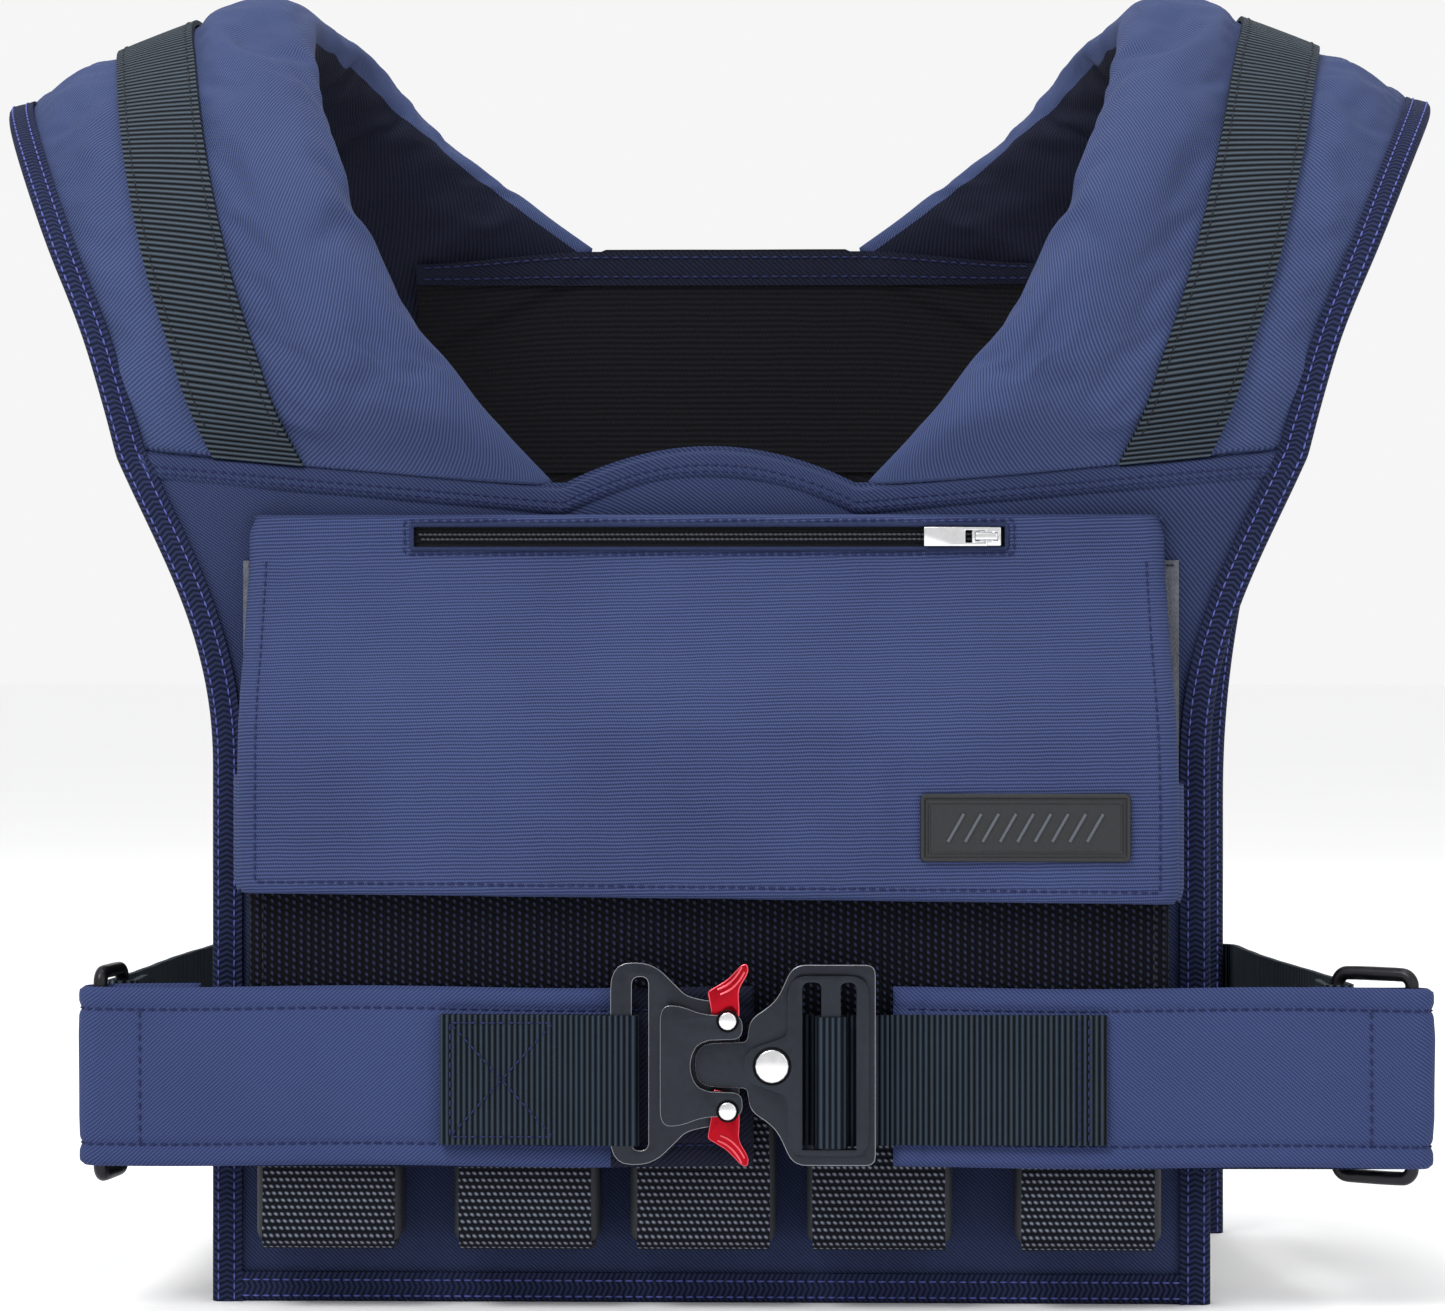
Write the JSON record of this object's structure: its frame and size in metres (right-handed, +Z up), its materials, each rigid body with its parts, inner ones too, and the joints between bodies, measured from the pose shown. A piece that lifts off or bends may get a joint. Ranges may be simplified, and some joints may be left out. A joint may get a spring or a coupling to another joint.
{
  "type": "weighted training vest",
  "caption": "Navy padded weighted vest with shoulder straps, weight bars in webbing slings, a zipped flap and a waist belt with a metal quick-release buckle.",
  "frame": {"origin": "on the ground plane under the middle of the vest, midway between its front and back", "axes": "+Z up as worn, the front faces -Y, +X to the right as seen from the front"},
  "size_m": [0.4652, 0.2606, 0.4113],
  "materials": {
    "navy_fabric": "woven polyester, fine diagonal twill, matt",
    "binding_tape": "herringbone binding tape, near black navy",
    "black_webbing": "ribbed polypropylene webbing, matt",
    "zip_coil": "black nylon coil zip",
    "grey_loop": "grey hook-and-loop strip",
    "weight_coat": "grey powder-coated steel bar",
    "buckle_metal": "gunmetal satin anodised",
    "lever_red": "red anodised, satin",
    "bright_steel": "bright nickel-plated steel",
    "ring_wire": "black-plated wire",
    "label_rubber": "moulded soft rubber, matt"
  },
  "bodies": {
    "vest": {"front_panel": "navy_fabric", "back_panel": "navy_fabric", "front_hem_binding": "binding_tape", "back_hem_binding": "binding_tape", "shoulder_pad_left": "navy_fabric", "shoulder_webbing_left": "black_webbing", "side_binding_left": "binding_tape", "closure_strip_left": "grey_loop", "belt_left": "navy_fabric", "belt_webbing_left": "black_webbing", "side_ring_left": "ring_wire", "side_strap_left": "black_webbing", "shoulder_pad_right": "navy_fabric", "shoulder_webbing_right": "black_webbing", "side_binding_right": "binding_tape", "closure_strip_right": "grey_loop", "belt_right": "navy_fabric", "belt_webbing_right": "black_webbing", "side_ring_right": "ring_wire", "side_strap_right": "black_webbing", "front_weight_sling_1": "black_webbing", "front_weight_sling_2": "black_webbing", "front_weight_sling_3": "black_webbing", "front_weight_sling_4": "black_webbing", "front_weight_sling_5": "black_webbing", "front_weight_band": "black_webbing", "back_weight_sling_1": "black_webbing", "back_weight_sling_2": "black_webbing", "back_weight_sling_3": "black_webbing", "back_weight_sling_4": "black_webbing", "back_weight_sling_5": "black_webbing", "back_weight_band": "black_webbing", "buckle_base": "buckle_metal", "buckle_cover": "buckle_metal", "lever_rivet_upper": "bright_steel", "lever_rivet_lower": "bright_steel"},
    "front_cover": {"front_flap": "navy_fabric", "zip_tape": "zip_coil", "label_patch": "label_rubber"},
    "slider": {"zip_slider": "bright_steel"},
    "pull_tab": {"zip_pull": "bright_steel"},
    "rear_cover": {"back_flap": "navy_fabric"},
    "tongue_half": {"buckle_tongue": "buckle_metal", "adjuster_frame": "buckle_metal", "centre_rivet": "bright_steel", "adjuster_webbing": "black_webbing"},
    "upper_lever": {"release_lever_upper": "lever_red"},
    "lower_lever": {"release_lever_lower": "lever_red"},
    "front_bar_1": {"front_weight_1": "weight_coat"},
    "front_bar_2": {"front_weight_2": "weight_coat"},
    "front_bar_3": {"front_weight_3": "weight_coat"},
    "front_bar_4": {"front_weight_4": "weight_coat"},
    "front_bar_5": {"front_weight_5": "weight_coat"},
    "back_bar_1": {"back_weight_1": "weight_coat"},
    "back_bar_2": {"back_weight_2": "weight_coat"},
    "back_bar_3": {"back_weight_3": "weight_coat"},
    "back_bar_4": {"back_weight_4": "weight_coat"},
    "back_bar_5": {"back_weight_5": "weight_coat"}
  },
  "joints": [
    {"name": "front_flap_hinge", "type": "hinge", "parent": "vest", "child": "front_cover", "pos_m": [0, -0.08943, 0.242], "axis": [-1, 0, 0], "range_deg": [0, 105]},
    {"name": "back_flap_hinge", "type": "hinge", "parent": "vest", "child": "rear_cover", "pos_m": [0, 0.09957, 0.242], "axis": [1, 0, 0], "range_deg": [0, 105]},
    {"name": "zip_slide", "type": "slide", "parent": "front_cover", "child": "slider", "axis": [-1, 0, 0], "range_m": [0, 0.165]},
    {"name": "zip_pull_hinge", "type": "hinge", "parent": "slider", "child": "pull_tab", "pos_m": [0.0845, -0.09817, 0.235], "axis": [0, 0, 1], "range_deg": [0, 170]},
    {"name": "buckle_release", "type": "slide", "parent": "vest", "child": "tongue_half", "axis": [1, 0, 0], "range_m": [0, 0.026]},
    {"name": "upper_lever_press", "type": "hinge", "parent": "vest", "child": "upper_lever", "pos_m": [0.0066, -0.12392, 0.0899], "axis": [0, 1, 0], "range_deg": [0, 12], "stiffness_Nm_per_rad": 0.03},
    {"name": "lower_lever_press", "type": "hinge", "parent": "vest", "child": "lower_lever", "pos_m": [0.0066, -0.12392, 0.0631], "axis": [0, -1, 0], "range_deg": [0, 12], "stiffness_Nm_per_rad": 0.03},
    {"name": "front_weight_1_lift", "type": "slide", "parent": "vest", "child": "front_bar_1", "axis": [0, 0, 1], "range_m": [0, 0.01]},
    {"name": "front_weight_2_lift", "type": "slide", "parent": "vest", "child": "front_bar_2", "axis": [0, 0, 1], "range_m": [0, 0.01]},
    {"name": "front_weight_3_lift", "type": "slide", "parent": "vest", "child": "front_bar_3", "axis": [0, 0, 1], "range_m": [0, 0.01]},
    {"name": "front_weight_4_lift", "type": "slide", "parent": "vest", "child": "front_bar_4", "axis": [0, 0, 1], "range_m": [0, 0.01]},
    {"name": "front_weight_5_lift", "type": "slide", "parent": "vest", "child": "front_bar_5", "axis": [0, 0, 1], "range_m": [0, 0.01]},
    {"name": "back_weight_1_lift", "type": "slide", "parent": "vest", "child": "back_bar_1", "axis": [0, 0, 1], "range_m": [0, 0.01]},
    {"name": "back_weight_2_lift", "type": "slide", "parent": "vest", "child": "back_bar_2", "axis": [0, 0, 1], "range_m": [0, 0.01]},
    {"name": "back_weight_3_lift", "type": "slide", "parent": "vest", "child": "back_bar_3", "axis": [0, 0, 1], "range_m": [0, 0.01]},
    {"name": "back_weight_4_lift", "type": "slide", "parent": "vest", "child": "back_bar_4", "axis": [0, 0, 1], "range_m": [0, 0.01]},
    {"name": "back_weight_5_lift", "type": "slide", "parent": "vest", "child": "back_bar_5", "axis": [0, 0, 1], "range_m": [0, 0.01]}
  ]
}
